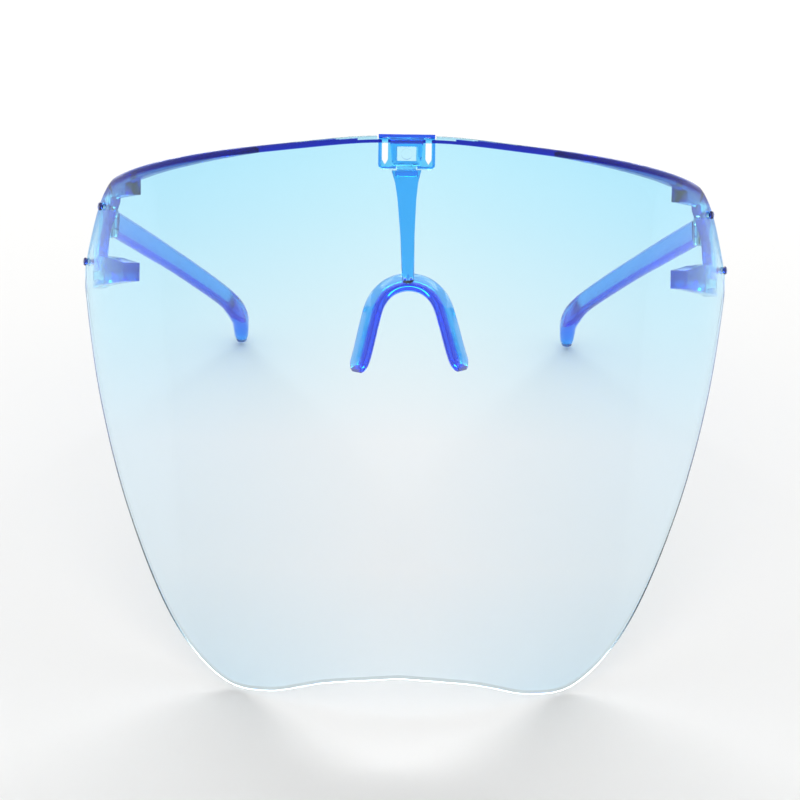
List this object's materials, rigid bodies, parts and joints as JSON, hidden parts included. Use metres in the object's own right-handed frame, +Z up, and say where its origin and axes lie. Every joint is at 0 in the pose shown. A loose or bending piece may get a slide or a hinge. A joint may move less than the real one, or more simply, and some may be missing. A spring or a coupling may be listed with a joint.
{
  "type": "full-face shield glasses",
  "caption": "Full-face shield glasses: a wide wrapped transparent visor, blue at the brow and clear below, on folding temples, with a nose saddle hung from a clip on the top edge.",
  "frame": {"origin": "on the surface the glasses lie on, under the middle of their bounding box", "axes": "+X to the side of the right-hand temple as named, the mirror direction; +Y from the shield back towards the temple tips; +Z up from the table; the glasses lean back 27 degrees, resting on the shield's two lower lobes and the temple tips"},
  "size_m": [0.1664, 0.2168, 0.1254],
  "materials": {
    "lens_plastic": "polished transparent polycarbonate, sky blue at the brow fading to nearly clear",
    "blue_plastic": "glossy transparent blue moulding",
    "temple_plastic": "glossy transparent blue moulding",
    "screw_steel": "small plated slotted screw"
  },
  "bodies": {
    "front": {"shield_lens": "lens_plastic", "nose_clip": "blue_plastic", "nose_stalk": "blue_plastic", "nose_saddle": "blue_plastic", "bracket_right": "blue_plastic", "bracket_left": "blue_plastic", "rivet_upper_right": "blue_plastic", "rivet_upper_left": "blue_plastic", "rivet_lower_right": "blue_plastic", "rivet_lower_left": "blue_plastic", "hinge_screw_right": "screw_steel", "hinge_screw_left": "screw_steel"},
    "arm_right": {"temple_right": "temple_plastic"},
    "arm_left": {"temple_left": "temple_plastic"}
  },
  "joints": [
    {"name": "temple_right_fold", "type": "hinge", "parent": "front", "child": "arm_right", "pos_m": [0.0774, 0.021, 0.07155], "axis": [0, 0.4564, 0.8898], "range_deg": [0, 72]},
    {"name": "temple_left_fold", "type": "hinge", "parent": "front", "child": "arm_left", "pos_m": [-0.0774, 0.021, 0.07155], "axis": [0, -0.4564, -0.8898], "range_deg": [0, 82]}
  ]
}
